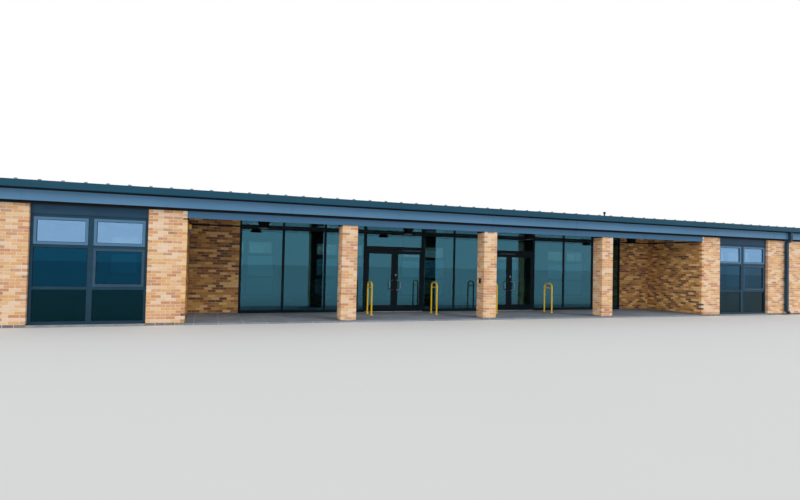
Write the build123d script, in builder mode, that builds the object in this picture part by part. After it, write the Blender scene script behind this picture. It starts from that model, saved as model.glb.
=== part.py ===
"""Single-storey brick school building with a recessed glazed porch, hinged doors and a low metal roof.

Units are millimetres. +X runs along the front to the right, +Y runs from the front to the rear, +Z is up.
The origin lies on the ground at the middle of the plan.
"""
from build123d import *
from math import radians, tan
import os

# Plan sizes of the brickwork
pier_width = 440.0
pier_pitch = 4417.5
end_pier_width = 890.0
window_width = 2485.0
corner_width = 2240.0
wall_thickness = 330.0
building_depth = 10790.0
porch_depth = 2500.0
porch_back_wall_width = 1405.0
porch_bay_count = 4
rear_window_count = 6
gable_window_count = 2

# Heights, counted from the ground up
floor_height = 40.0
soffit_height = 2675.0
cladding_height = 232.0
wall_beam_height = 243.0
eaves_rise = 40.0

# Roof and eaves
roof_pitch = 4.0
deck_thickness = 190.0
sheet_thickness = 8.0
sheet_overhang = 45.0
seam_pitch = 461.5
seam_width = 24.0
seam_height = 45.0
fascia_projection = 150.0
fascia_thickness = 25.0
eaves_strip_thickness = 15.0
fascia_joint_pitch = 3030.0
joint_width = 10.0
joint_depth = 6.0
ridge_cap_width = 260.0
ridge_cap_thickness = 10.0
verge_cover = 120.0
verge_drop = 70.0
verge_thickness = 6.0

# Gutters and downpipes
gutter_width = 200.0
gutter_front_height = 165.0
gutter_back_height = 125.0
gutter_thickness = 8.0
gutter_bead_radius = 9.0
downpipe_width = 100.0
downpipe_thickness = 3.0
downpipe_position = 12900.0
downpipe_wall_gap = 30.0
downpipe_bend_drop = 27.0
downpipe_bend_height = 100.0
shoe_height = 170.0
shoe_projection = 90.0
shoe_drop = 90.0
bracket_width = 140.0
bracket_height = 40.0
bracket_levels = (400.0, 1400.0, 2400.0)

# Porch ceiling and the cladding of its beam
soffit_thickness = 15.0
cladding_thickness = 20.0
cladding_joint_pitch = 3000.0

# Windows
sill_height = 50.0
sill_projection = 15.0
window_recess = 100.0
frame_depth = 70.0
frame_width = 70.0
mullion_width = 120.0
transom_width = 70.0
low_transom_height = 905.0
high_transom_height = 1890.0
head_panel_height = 277.0
sash_width = 60.0
sash_proud = 12.0
glass_thickness = 24.0
head_panel_recess = 85.0
head_panel_thickness = 60.0

# Glazed screen at the back of the porch
screen_recess = 20.0
screen_depth = 70.0
screen_frame_width = 60.0
screen_bottom_rail = 80.0
centre_light_width = 1160.0
doorway_width = 2090.0
side_light_count = 3
door_head_bottom = 2088.0
door_head_height = 112.0
threshold_height = 12.0
threshold_width = 110.0

# Door leaves, hinged at the jambs and opening outwards
leaf_thickness = 52.0
leaf_gap = 8.0
jamb_gap = 6.0
meeting_gap = 12.0
stile_width = 105.0
top_rail_height = 105.0
bottom_rail_height = 190.0
hinge_offset = 14.0
knuckle_radius = 8.0
knuckle_height = 48.0
hinge_running_gap = 0.3
hinge_plate_width = 34.0
hinge_end_distance = 220.0
pull_radius = 10.0
pull_length = 320.0
pull_standoff = 60.0
pull_side_offset = 120.0
pull_bend_radius = 78.0
pull_height = 930.0
pull_edge_distance = 64.0
lock_height = 1262.0
lock_width = 32.0
lock_length = 62.0
lock_thickness = 10.0
lock_edge_distance = 34.0
push_plate_width = 80.0
push_plate_height = 300.0
push_plate_thickness = 3.0

# Hoops that guard the doors
hoop_tube_radius = 24.0
hoop_height = 1085.0
hoop_length = 440.0
hoop_bend_radius = 140.0
hoop_rung_radius = 18.0
hoop_rung_drop = 185.0
hoop_centre_depth = 1700.0
hoop_doorway_distance = 85.0

# Small fittings
light_bottom_radius = 175.0
light_top_radius = 140.0
light_height = 100.0
light_rim_height = 22.0
lens_radius = 150.0
lens_recess = 10.0
lens_edge_depth = 5.0
lens_crown_depth = 8.0
light_depth = 1300.0
reader_width = 80.0
reader_height = 150.0
reader_thickness = 35.0
reader_corner_radius = 10.0
reader_chamfer = 6.0
reader_centre_height = 1180.0
alarm_width = 260.0
alarm_cover_height = 126.0
alarm_lens_height = 84.0
alarm_lens_inset = 8.0
alarm_thickness = 72.0
alarm_edge_radius = 14.0
alarm_soffit_distance = 108.0
alarm_depth = 1000.0
vent_radius = 30.0
vent_cowl_radius = 62.0
vent_cowl_height = 110.0
vent_cowl_dish = 30.0
vent_collar_radius = 110.0
vent_collar_height = 120.0
vent_rise = 412.0
vent_depth = 4150.0
vent_seam_number = 17

# Places worked out from the sizes
half_depth = building_depth / 2
head_height = soffit_height + cladding_height
wall_top = head_height + wall_beam_height
eaves_height = wall_top + eaves_rise
window_head_height = head_height - head_panel_height
porch_half = (porch_bay_count * pier_pitch - pier_width) / 2
screen_half = porch_half - porch_back_wall_width
side_wall_half = porch_half + wall_thickness
window_centre = porch_half + end_pier_width + window_width / 2
half_length = window_centre + window_width / 2 + corner_width
fascia_half = half_length + fascia_projection
deck_half = fascia_half - fascia_thickness
y_front = -half_depth
y_fascia = y_front - fascia_projection
y_deck = y_fascia + fascia_thickness
y_porch_back = y_front + porch_depth
y_back_inner = y_porch_back + wall_thickness
y_screen = y_porch_back + screen_recess
beam_underside = soffit_height + soffit_thickness
sheet_lift = deck_thickness + sheet_thickness
seam_lift = sheet_lift + seam_height
slope = tan(radians(roof_pitch))
door_centre = centre_light_width + doorway_width / 2
clear_doorway = doorway_width - screen_frame_width
door_head_top = door_head_bottom + door_head_height
leaf_bottom = floor_height + threshold_height + leaf_gap
leaf_top = door_head_bottom - leaf_gap

# Outer faces of the walls, each seen from outside with its own X to the right and Y up
front_face = Plane(origin=(0, y_front, 0), x_dir=(1, 0, 0), z_dir=(0, -1, 0))
rear_face = Plane(origin=(0, half_depth, 0), x_dir=(-1, 0, 0), z_dir=(0, 1, 0))
left_face = Plane(origin=(-half_length, 0, 0), x_dir=(0, -1, 0), z_dir=(-1, 0, 0))
right_face = Plane(origin=(half_length, 0, 0), x_dir=(0, 1, 0), z_dir=(1, 0, 0))
screen_plane = Plane(origin=(0, y_screen, 0), x_dir=(1, 0, 0), z_dir=(0, -1, 0))


def roof_line(y, lift=0.0):
    """Height of the underside of the roof deck at a place between front and rear, raised by lift."""
    return wall_top + (half_depth - abs(y)) * slope + lift


def corner_rectangle(low_x, high_x, low_y, high_y, mode=Mode.ADD):
    """Draw a rectangle in the active sketch from its lowest and highest corners."""
    with Locations(((low_x + high_x) / 2, (low_y + high_y) / 2)):
        Rectangle(high_x - low_x, high_y - low_y, mode=mode)


def both_sides(low, high):
    """A stretch on the positive side of the middle line and its mirror image on the other side."""
    return [(low, high), (-high, -low)]


def spread_windows(count, span):
    """Centres of equally spaced windows whose outer edges are span apart."""
    pitch = (span - window_width) / (count - 1)
    return [pitch * (i - (count - 1) / 2) for i in range(count)]


def wall_between(centres, low, high):
    """The stretches of wall from low to high that the windows leave."""
    edges = [low]
    for centre in centres:
        edges += [centre - window_width / 2, centre + window_width / 2]
    edges.append(high)
    return list(zip(edges[::2], edges[1::2]))


def profile_along_x(points, low_x, high_x):
    """Extrude an outline drawn across the building from low_x to high_x in the active part."""
    with BuildSketch(Plane.YZ.offset(low_x)) as outline:
        with BuildLine():
            Polyline(*points, close=True)
        make_face()
    extrude(outline.sketch, amount=high_x - low_x)


def sloped_wall(low_x, high_x, low_y, high_y, bottom):
    """Add a wall or beam whose top is cut to the slope of the roof."""
    top = [(high_y, roof_line(high_y)), (low_y, roof_line(low_y))]
    profile_along_x([(low_y, bottom), (high_y, bottom)] + top, low_x, high_x)


def save(builder, name):
    """Label a finished piece and write it to its own file."""
    builder.part.label = name
    export_step(builder.part, f"parts/{name}.step")


os.makedirs("parts", exist_ok=True)

front_windows = [-window_centre, window_centre]
rear_windows = spread_windows(rear_window_count, 2 * (half_length - corner_width))
gable_windows = spread_windows(gable_window_count, building_depth - 2 * corner_width)
window_walls = [
    (front_face, front_windows),
    (rear_face, rear_windows),
    (left_face, gable_windows),
    (right_face, gable_windows),
]

# Floors
with BuildPart() as floor_slab:
    with BuildSketch(Plane.XY):
        inner_x = half_length - wall_thickness
        inner_y = half_depth - wall_thickness
        corner_rectangle(-inner_x, inner_x, -inner_y, inner_y)
        corner_rectangle(-side_wall_half, side_wall_half, -inner_y, y_porch_back, Mode.SUBTRACT)
        for low_x, high_x in both_sides(screen_half, side_wall_half):
            corner_rectangle(low_x, high_x, y_porch_back, y_back_inner, Mode.SUBTRACT)
    extrude(amount=floor_height)
save(floor_slab, "floor_slab")

porch_panels = (("porch_floor", 0, floor_height), ("porch_soffit", soffit_height, soffit_thickness))
for name, bottom, thickness in porch_panels:
    with BuildPart() as porch_panel:
        with BuildSketch(Plane.XY.offset(bottom)):
            corner_rectangle(-porch_half, porch_half, y_front, y_porch_back)
            with Locations((0, y_front + pier_width / 2)):
                with GridLocations(pier_pitch, 1, porch_bay_count - 1, 1):
                    Rectangle(pier_width, pier_width, mode=Mode.SUBTRACT)
        extrude(amount=thickness)
    save(porch_panel, name)

# Brickwork
with BuildPart() as porch_piers:
    with BuildSketch(Plane.XY):
        with Locations((0, y_front + pier_width / 2)):
            with GridLocations(pier_pitch, 1, porch_bay_count - 1, 1):
                Rectangle(pier_width, pier_width)
    extrude(amount=beam_underside)
save(porch_piers, "porch_piers")

with BuildPart() as front_walls:
    with BuildSketch(Plane.XY):
        for low_x, high_x in both_sides(side_wall_half, window_centre - window_width / 2):
            corner_rectangle(low_x, high_x, y_front, y_front + wall_thickness)
        for low_x, high_x in both_sides(window_centre + window_width / 2, half_length):
            corner_rectangle(low_x, high_x, y_front, y_front + wall_thickness)
    extrude(amount=head_height)
save(front_walls, "front_walls")

with BuildPart() as rear_wall:
    with BuildSketch(Plane.XY):
        for low_x, high_x in wall_between(rear_windows, -half_length, half_length):
            corner_rectangle(low_x, high_x, half_depth - wall_thickness, half_depth)
    extrude(amount=head_height)
save(rear_wall, "rear_wall")

with BuildPart() as gable_walls:
    with BuildSketch(Plane.XY):
        inner_y = half_depth - wall_thickness
        for low_y, high_y in wall_between(gable_windows, -inner_y, inner_y):
            for low_x, high_x in both_sides(half_length - wall_thickness, half_length):
                corner_rectangle(low_x, high_x, low_y, high_y)
    extrude(amount=head_height)
save(gable_walls, "gable_walls")

with BuildPart() as porch_side_walls:
    for low_x, high_x in both_sides(porch_half, side_wall_half):
        sloped_wall(low_x, high_x, y_front, y_back_inner, 0)
save(porch_side_walls, "porch_side_walls")

with BuildPart() as porch_back_walls:
    for low_x, high_x in both_sides(screen_half, porch_half):
        sloped_wall(low_x, high_x, y_porch_back, y_back_inner, 0)
save(porch_back_walls, "porch_back_walls")

# Beams under the roof
with BuildPart() as porch_beams:
    sloped_wall(-porch_half, porch_half, y_front, y_front + wall_thickness, beam_underside)
    sloped_wall(-screen_half, screen_half, y_porch_back, y_back_inner, soffit_height)
save(porch_beams, "porch_beams")

with BuildPart() as wall_beams:
    for low_x, high_x in both_sides(side_wall_half, half_length):
        sloped_wall(low_x, high_x, y_front, y_front + wall_thickness, head_height)
    sloped_wall(-half_length, half_length, half_depth - wall_thickness, half_depth, head_height)
save(wall_beams, "wall_beams")

with BuildPart() as gable_beams:
    beam_end = half_depth - wall_thickness
    beam_outline = [(-beam_end, head_height), (beam_end, head_height)]
    beam_outline += [(y, roof_line(y)) for y in (beam_end, 0, -beam_end)]
    for low_x, high_x in both_sides(half_length - wall_thickness, half_length):
        profile_along_x(beam_outline, low_x, high_x)
save(gable_beams, "gable_beams")

# Roof decks with their standing seam sheets
seam_span = 2 * (deck_half - verge_cover) - seam_width
seam_count = int(seam_span / seam_pitch) + 1
for name, side in (("front", -1), ("rear", 1)):
    with BuildPart() as roof_deck:
        eave = side * abs(y_deck)
        deck_bottom = [(eave, roof_line(eave)), (0, roof_line(0))]
        deck_top = [(0, roof_line(0, deck_thickness)), (eave, roof_line(eave, deck_thickness))]
        profile_along_x(deck_bottom + deck_top, -deck_half, deck_half)
    save(roof_deck, f"roof_deck_{name}")

    with BuildPart() as roof_sheet:
        drip = side * (abs(y_deck) + sheet_overhang)
        sheet_bottom = [(drip, roof_line(drip, deck_thickness)), (0, roof_line(0, deck_thickness))]
        sheet_top = [(0, roof_line(0, sheet_lift)), (drip, roof_line(drip, sheet_lift))]
        profile_along_x(sheet_bottom + sheet_top, -deck_half, deck_half)
        with BuildSketch(Plane.YZ.offset(-seam_width / 2)):
            with BuildLine():
                seam_top = [(0, roof_line(0, seam_lift)), (drip, roof_line(drip, seam_lift))]
                Polyline(*sheet_bottom, *seam_top, close=True)
            make_face()
        seam = extrude(amount=seam_width, mode=Mode.PRIVATE)
        with GridLocations(seam_pitch, 1, seam_count, 1):
            add(seam)
    save(roof_sheet, f"roof_sheet_{name}")

with BuildPart() as ridge_cap:
    cap_edge = ridge_cap_width / 2
    cap_bottom = [(y, roof_line(y, seam_lift)) for y in (-cap_edge, 0, cap_edge)]
    cap_top = [(y, roof_line(y, seam_lift + ridge_cap_thickness)) for y in (cap_edge, 0, -cap_edge)]
    profile_along_x(cap_bottom + cap_top, -deck_half, deck_half)
save(ridge_cap, "ridge_cap")

with BuildPart() as verge_flashings:
    leg_bottom = [(y, roof_line(y, sheet_lift)) for y in (y_deck, 0, -y_deck)]
    leg_top = [(y, roof_line(y, sheet_lift + verge_thickness)) for y in (-y_deck, 0, y_deck)]
    drop_bottom = [(y, roof_line(y, sheet_lift - verge_drop)) for y in (y_deck, 0, -y_deck)]
    for low_x, high_x in both_sides(deck_half - verge_cover, fascia_half + verge_thickness):
        profile_along_x(leg_bottom + leg_top, low_x, high_x)
    for low_x, high_x in both_sides(fascia_half, fascia_half + verge_thickness):
        profile_along_x(drop_bottom + leg_top, low_x, high_x)
save(verge_flashings, "verge_flashings")

# Fascias: folded panels that stand out from the brickwork and close the eaves
with BuildPart() as eaves_fascias:
    strip_top = head_height + eaves_strip_thickness
    fold = [(y_fascia, head_height), (y_front, head_height), (y_front, strip_top)]
    fold += [(y_deck, strip_top), (y_deck, eaves_height), (y_fascia, eaves_height)]
    profile_along_x(fold, -deck_half, deck_half)
    joint_count = int(2 * deck_half / fascia_joint_pitch)
    with BuildSketch(Plane.XZ.offset(-y_fascia)):
        with Locations((0, (head_height + eaves_height) / 2)):
            with GridLocations(fascia_joint_pitch, 1, joint_count, 1):
                Rectangle(joint_width, eaves_height - head_height)
    extrude(amount=-joint_depth, mode=Mode.SUBTRACT)
    mirror(about=Plane.XZ)
save(eaves_fascias, "eaves_fascias")

with BuildPart() as gable_fascias:
    plate = [(y_fascia, head_height), (-y_fascia, head_height)]
    plate += [(-y_fascia, eaves_height), (-y_deck, eaves_height)]
    plate += [(y, roof_line(y, sheet_lift)) for y in (-y_deck, 0, y_deck)]
    plate += [(y_deck, eaves_height), (y_fascia, eaves_height)]
    strip = [(y_front, head_height), (-y_front, head_height), (-y_front, strip_top), (y_front, strip_top)]
    for low_x, high_x in both_sides(deck_half, fascia_half):
        profile_along_x(plate, low_x, high_x)
    for low_x, high_x in both_sides(half_length, deck_half):
        profile_along_x(strip, low_x, high_x)
save(gable_fascias, "gable_fascias")

# Cladding on the front of the porch beam
with BuildPart() as beam_cladding:
    cladding_middle = (soffit_height + head_height) / 2
    with BuildSketch(front_face):
        with Locations((0, cladding_middle)):
            Rectangle(2 * porch_half, head_height - soffit_height)
    extrude(amount=cladding_thickness)
    cladding_joints = int(2 * porch_half / cladding_joint_pitch)
    with BuildSketch(front_face.offset(cladding_thickness)):
        with Locations((0, cladding_middle)):
            with GridLocations(cladding_joint_pitch, 1, cladding_joints, 1):
                Rectangle(joint_width, head_height - soffit_height)
    extrude(amount=-joint_depth, mode=Mode.SUBTRACT)
save(beam_cladding, "beam_cladding")

# Gutters, open along the top and closed at their ends
with BuildPart() as gutters:
    y_lip = y_deck - gutter_width
    lip_top = eaves_height + gutter_front_height
    back_top = eaves_height + gutter_back_height
    y_back = y_deck - gutter_thickness
    y_front_inner = y_lip + gutter_thickness
    channel_floor = eaves_height + gutter_thickness
    channel = [(y_lip, eaves_height), (y_deck, eaves_height), (y_deck, back_top), (y_back, back_top)]
    channel += [(y_back, channel_floor), (y_front_inner, channel_floor)]
    channel += [(y_front_inner, lip_top), (y_lip, lip_top)]
    profile_along_x(channel, -fascia_half, fascia_half)
    with BuildSketch(Plane.YZ.offset(-fascia_half)):
        with Locations((y_lip + gutter_bead_radius, lip_top - gutter_bead_radius)):
            Circle(gutter_bead_radius)
    extrude(amount=2 * fascia_half)
    stop_end = [(y_lip, eaves_height), (y_deck, eaves_height), (y_deck, back_top), (y_lip, lip_top)]
    for low_x, high_x in both_sides(fascia_half - gutter_thickness, fascia_half):
        profile_along_x(stop_end, low_x, high_x)
    mirror(about=Plane.XZ)
save(gutters, "gutters")

# Downpipes: square pipes that step back under the fascia, run down the wall and end in a shoe
with BuildPart() as downpipes:
    pipe_top_y = y_deck - gutter_width / 2
    pipe_wall_y = y_front - downpipe_wall_gap - downpipe_width / 2
    bend_top = head_height - downpipe_bend_drop
    with BuildLine(Plane.YZ.offset(downpipe_position)) as pipe_route:
        Polyline(
            (pipe_top_y, eaves_height),
            (pipe_top_y, bend_top),
            (pipe_wall_y, bend_top - downpipe_bend_height),
            (pipe_wall_y, shoe_height),
            (pipe_wall_y - shoe_projection, shoe_height - shoe_drop),
        )
    pipe_bore = downpipe_width - 2 * downpipe_thickness
    with BuildSketch(Plane(origin=pipe_route.line @ 0, x_dir=(1, 0, 0), z_dir=pipe_route.line % 0)):
        Rectangle(downpipe_width, downpipe_width)
        Rectangle(pipe_bore, pipe_bore, mode=Mode.SUBTRACT)
    sweep(path=pipe_route.line, transition=Transition.RIGHT)
    with BuildSketch(front_face):
        with Locations(*[(downpipe_position, level) for level in bracket_levels]):
            Rectangle(bracket_width, bracket_height)
    extrude(amount=downpipe_wall_gap)
    mirror(about=Plane.YZ)
    mirror(about=Plane.XZ)
save(downpipes, "downpipes")

# Windows: each has two columns of three lights under an insulated head panel
column_edges = (mullion_width / 2, window_width / 2 - frame_width)
row_edges = (
    (sill_height + frame_width, low_transom_height - transom_width / 2),
    (low_transom_height + transom_width / 2, high_transom_height - transom_width / 2),
    (high_transom_height + transom_width / 2, window_head_height - frame_width),
)
left_column = (-column_edges[1], -column_edges[0])
fixed_lights = [column_edges + row_edges[0], left_column + row_edges[0], left_column + row_edges[1]]
opening_lights = [column_edges + row_edges[1], column_edges + row_edges[2], left_column + row_edges[2]]


def draw_lights(centre, lights, inset=0.0, mode=Mode.ADD):
    """Draw some lights of the window at centre in the active sketch, each drawn in by inset."""
    for low_x, high_x, low_z, high_z in lights:
        corner_rectangle(centre + low_x + inset, centre + high_x - inset, low_z + inset, high_z - inset, mode)


with BuildPart() as window_frames:
    for face, centres in window_walls:
        with BuildSketch(face.offset(-window_recess)):
            for centre in centres:
                edge = window_width / 2
                corner_rectangle(centre - edge, centre + edge, sill_height, window_head_height)
                draw_lights(centre, fixed_lights + opening_lights, mode=Mode.SUBTRACT)
        extrude(amount=-frame_depth)
save(window_frames, "window_frames")

with BuildPart() as window_sashes:
    for face, centres in window_walls:
        with BuildSketch(face.offset(sash_proud - window_recess)):
            for centre in centres:
                draw_lights(centre, opening_lights)
                draw_lights(centre, opening_lights, sash_width, Mode.SUBTRACT)
        extrude(amount=-frame_depth)
save(window_sashes, "window_sashes")

with BuildPart() as window_glass:
    for face, centres in window_walls:
        with BuildSketch(face.offset(-window_recess - (frame_depth - glass_thickness) / 2)):
            for centre in centres:
                draw_lights(centre, fixed_lights)
                draw_lights(centre, opening_lights, sash_width)
        extrude(amount=-glass_thickness)
save(window_glass, "window_glass")

with BuildPart() as window_head_panels:
    for face, centres in window_walls:
        with BuildSketch(face.offset(-head_panel_recess)):
            for centre in centres:
                edge = window_width / 2
                corner_rectangle(centre - edge, centre + edge, window_head_height, head_height)
        extrude(amount=-head_panel_thickness)
save(window_head_panels, "window_head_panels")

with BuildPart() as window_sills:
    for face, centres in window_walls:
        with BuildSketch(face.offset(sill_projection)):
            for centre in centres:
                edge = window_width / 2
                corner_rectangle(centre - edge, centre + edge, 0, sill_height)
        extrude(amount=-sill_projection - wall_thickness)
save(window_sills, "window_sills")

# Glazed screen: fixed lights beside and between the doorways, and a light over each pair of doors
top_rail_underside = soffit_height - screen_frame_width
bottom_rail_top = floor_height + screen_bottom_rail
side_light_pitch = (screen_half - centre_light_width - doorway_width) / side_light_count
side_lines = [centre_light_width + doorway_width + side_light_pitch * i for i in range(side_light_count + 1)]
half_face = screen_frame_width / 2
screens = [
    [-line for line in reversed(side_lines)],
    [-centre_light_width, 0, centre_light_width],
    side_lines,
]


def screen_lights(lines):
    """The glazed stretches between upright lines; the outermost upright lies inside the brick opening."""
    limit = screen_half - half_face
    return [(max(line, -limit) + half_face, min(next_line, limit) - half_face)
            for line, next_line in zip(lines, lines[1:])]


door_lights = both_sides(door_centre - clear_doorway / 2, door_centre + clear_doorway / 2)

with BuildPart() as screen_frames:
    with BuildSketch(screen_plane):
        for lines in screens:
            low_x = max(lines[0] - half_face, -screen_half)
            high_x = min(lines[-1] + half_face, screen_half)
            corner_rectangle(low_x, high_x, floor_height, soffit_height)
            for left, right in screen_lights(lines):
                corner_rectangle(left, right, bottom_rail_top, top_rail_underside, Mode.SUBTRACT)
    extrude(amount=-screen_depth)
save(screen_frames, "screen_frames")

with BuildPart() as door_head_frames:
    with BuildSketch(screen_plane):
        for left, right in door_lights:
            corner_rectangle(left, right, door_head_bottom, soffit_height)
            corner_rectangle(left, right, door_head_top, top_rail_underside, Mode.SUBTRACT)
            # A slim bead at each end carries the glass beside the upright
            for low_x, high_x in ((left, left + half_face), (right - half_face, right)):
                corner_rectangle(low_x, high_x, door_head_top, top_rail_underside)
    extrude(amount=-screen_depth)
save(door_head_frames, "door_head_frames")

with BuildPart() as screen_glass:
    with BuildSketch(screen_plane.offset(-(screen_depth - glass_thickness) / 2)):
        for lines in screens:
            for left, right in screen_lights(lines):
                corner_rectangle(left, right, bottom_rail_top, top_rail_underside)
        for left, right in door_lights:
            corner_rectangle(left + half_face, right - half_face, door_head_top, top_rail_underside)
    extrude(amount=-glass_thickness)
save(screen_glass, "screen_glass")

with BuildPart() as door_thresholds:
    with BuildSketch(Plane.XY.offset(floor_height)):
        for left, right in door_lights:
            corner_rectangle(left, right, y_porch_back, y_porch_back + threshold_width)
    extrude(amount=threshold_height)
save(door_thresholds, "door_thresholds")

# Hinges lift off: each leaf half turns on the half below it, which is fixed to the upright
hinge_axis_y = y_screen - hinge_offset
hinge_levels = (leaf_bottom + hinge_end_distance, (leaf_bottom + leaf_top) / 2, leaf_top - hinge_end_distance)


def hinge_halves(axis_x, plate_side, bottom):
    """Add the halves that start at bottom, counted from each hinge level, with plates towards plate_side."""
    for level in hinge_levels:
        with BuildSketch(Plane.XY.offset(level + bottom)) as section:
            with Locations((axis_x, hinge_axis_y)):
                Circle(knuckle_radius)
            plate = sorted((axis_x + plate_side * jamb_gap / 2, axis_x + plate_side * hinge_plate_width))
            corner_rectangle(*plate, hinge_axis_y, y_screen)
        extrude(section.sketch, amount=knuckle_height)


with BuildPart() as door_hinge_seats:
    for left, right in door_lights:
        hinge_halves(left + jamb_gap / 2, -1, -knuckle_height - hinge_running_gap / 2)
        hinge_halves(right - jamb_gap / 2, 1, -knuckle_height - hinge_running_gap / 2)
save(door_hinge_seats, "door_hinge_seats")

# Door leaves: stiles and rails round one tall pane, hung on hinges and opened by a bent tube
for door_name, door_middle in (("left_door", -door_centre), ("right_door", door_centre)):
    for leaf_name, side in (("left_leaf", -1), ("right_leaf", 1)):
        jamb = door_middle + side * clear_doorway / 2
        hinge_edge = jamb - side * jamb_gap
        meeting_edge = door_middle + side * meeting_gap / 2
        left, right = sorted((hinge_edge, meeting_edge))
        pane = (left + stile_width, right - stile_width)
        pane += (leaf_bottom + bottom_rail_height, leaf_top - top_rail_height)
        with BuildPart() as leaf:
            with BuildSketch(screen_plane):
                corner_rectangle(left, right, leaf_bottom, leaf_top)
                corner_rectangle(*pane, Mode.SUBTRACT)
            extrude(amount=-leaf_thickness)
            hinge_halves(jamb - side * jamb_gap / 2, -side, hinge_running_gap / 2)
        save(leaf, f"{door_name}_{leaf_name}")

        with BuildPart() as leaf_glass:
            with BuildSketch(screen_plane.offset(-(leaf_thickness - glass_thickness) / 2)):
                corner_rectangle(*pane)
            extrude(amount=-glass_thickness)
        save(leaf_glass, f"{door_name}_{leaf_name}_glass")

        with BuildPart() as leaf_handles:
            fixing_x = meeting_edge + side * pull_edge_distance
            pull_low = pull_height - pull_length / 2
            pull_high = pull_height + pull_length / 2
            # The arms lean over the glass; they start inside the stile and are trimmed flush with its face
            arm = Vector(side * pull_side_offset, -pull_standoff, 0)
            root = -pull_radius
            arm_plane = Plane(origin=(fixing_x, y_screen, 0), x_dir=arm, z_dir=arm.cross(Vector(0, 0, 1)))
            with BuildLine(arm_plane) as pull_route:
                FilletPolyline(
                    (root, pull_low),
                    (arm.length, pull_low),
                    (arm.length, pull_high),
                    (root, pull_high),
                    radius=pull_bend_radius,
                )
            with BuildSketch(Plane(origin=pull_route.line @ 0, z_dir=pull_route.line % 0)):
                Circle(pull_radius)
            sweep(path=pull_route.line)
            split(bisect_by=screen_plane, keep=Keep.TOP)
            if leaf_name == "right_leaf":
                with BuildSketch(screen_plane):
                    with Locations((meeting_edge + side * lock_edge_distance, lock_height)):
                        SlotOverall(lock_length, lock_width, rotation=90)
                extrude(amount=lock_thickness)
            with BuildSketch(screen_plane.offset(-leaf_thickness)):
                with Locations((meeting_edge + side * stile_width / 2, pull_height)):
                    Rectangle(push_plate_width, push_plate_height)
            extrude(amount=-push_plate_thickness)
        save(leaf_handles, f"{door_name}_{leaf_name}_handles")

# Guard hoops: one bent tube with a rung on each side of each doorway
with BuildPart() as door_guard_hoops:
    hoop_near = y_front + hoop_centre_depth - hoop_length / 2
    hoop_far = hoop_near + hoop_length
    for doorway_left, doorway_right in door_lights:
        for hoop_x in (doorway_left - hoop_doorway_distance, doorway_right + hoop_doorway_distance):
            with BuildLine(Plane.YZ.offset(hoop_x)) as hoop_route:
                FilletPolyline(
                    (hoop_near, floor_height),
                    (hoop_near, hoop_height - hoop_tube_radius),
                    (hoop_far, hoop_height - hoop_tube_radius),
                    (hoop_far, floor_height),
                    radius=hoop_bend_radius,
                )
            with BuildSketch(Plane.XY.offset(floor_height)):
                with Locations((hoop_x, hoop_near)):
                    Circle(hoop_tube_radius)
            sweep(path=hoop_route.line)
            with BuildSketch(Plane.XZ.offset(-hoop_near)):
                with Locations((hoop_x, hoop_height - hoop_rung_drop)):
                    Circle(hoop_rung_radius)
            extrude(amount=-hoop_length)
save(door_guard_hoops, "door_guard_hoops")

# Round lights under the porch ceiling, one in the middle of each bay
light_places = [pier_pitch * (bay - (porch_bay_count - 1) / 2) for bay in range(porch_bay_count)]
lens_top = lens_recess - light_height
housing_outline = [
    (0, 0),
    (light_top_radius, 0),
    (light_bottom_radius, light_rim_height - light_height),
    (light_bottom_radius, -light_height),
    (lens_radius, -light_height),
    (lens_radius, lens_top),
    (0, lens_top),
]
lens_outline = [
    (0, lens_top),
    (lens_radius, lens_top),
    (lens_radius, lens_top - lens_edge_depth),
    (0, lens_top - lens_crown_depth),
]
for name, outline in (("soffit_lights", housing_outline), ("soffit_light_lenses", lens_outline)):
    with BuildPart() as lights:
        for light_x in light_places:
            light_origin = (light_x, y_front + light_depth, soffit_height)
            with BuildSketch(Plane(origin=light_origin, x_dir=(1, 0, 0), z_dir=(0, -1, 0))):
                with BuildLine():
                    Polyline(*outline, close=True)
                make_face()
            revolve(axis=Axis(light_origin, (0, 0, 1)))
    save(lights, name)

# Door entry reader on the left flank of the middle pier
with BuildPart() as entry_reader:
    flank_middle = (-pier_width / 2, y_front + pier_width / 2, 0)
    pier_flank = Plane(origin=flank_middle, x_dir=(0, -1, 0), z_dir=(-1, 0, 0))
    with BuildSketch(pier_flank):
        with Locations((0, reader_centre_height)):
            RectangleRounded(reader_width, reader_height, reader_corner_radius)
    extrude(amount=reader_thickness)
    outer_edges = entry_reader.faces().sort_by(Axis.X)[0].edges()
    chamfer(outer_edges, length=reader_chamfer)
save(entry_reader, "entry_reader")

# Alarm on the left side wall of the porch: a moulded cover over a lens
alarm_plane = Plane(origin=(-porch_half, y_front + alarm_depth, 0), x_dir=(0, 1, 0), z_dir=(1, 0, 0))
alarm_top = soffit_height - alarm_soffit_distance
cover_bottom = alarm_top - alarm_cover_height
with BuildPart() as alarm_box:
    with BuildSketch(alarm_plane):
        corner_rectangle(-alarm_width / 2, alarm_width / 2, cover_bottom, alarm_top)
    extrude(amount=alarm_thickness)
    fillet(alarm_box.faces().sort_by(Axis.X)[-1].edges(), radius=alarm_edge_radius)
save(alarm_box, "alarm_box")

with BuildPart() as alarm_lens:
    with BuildSketch(alarm_plane):
        lens_edge = alarm_width / 2 - alarm_lens_inset
        corner_rectangle(-lens_edge, lens_edge, cover_bottom - alarm_lens_height, cover_bottom)
    extrude(amount=alarm_thickness - alarm_lens_inset)
    fillet(alarm_lens.faces().sort_by(Axis.Z)[0].edges().sort_by(Axis.X)[-1], radius=alarm_edge_radius)
save(alarm_lens, "alarm_lens")

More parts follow.
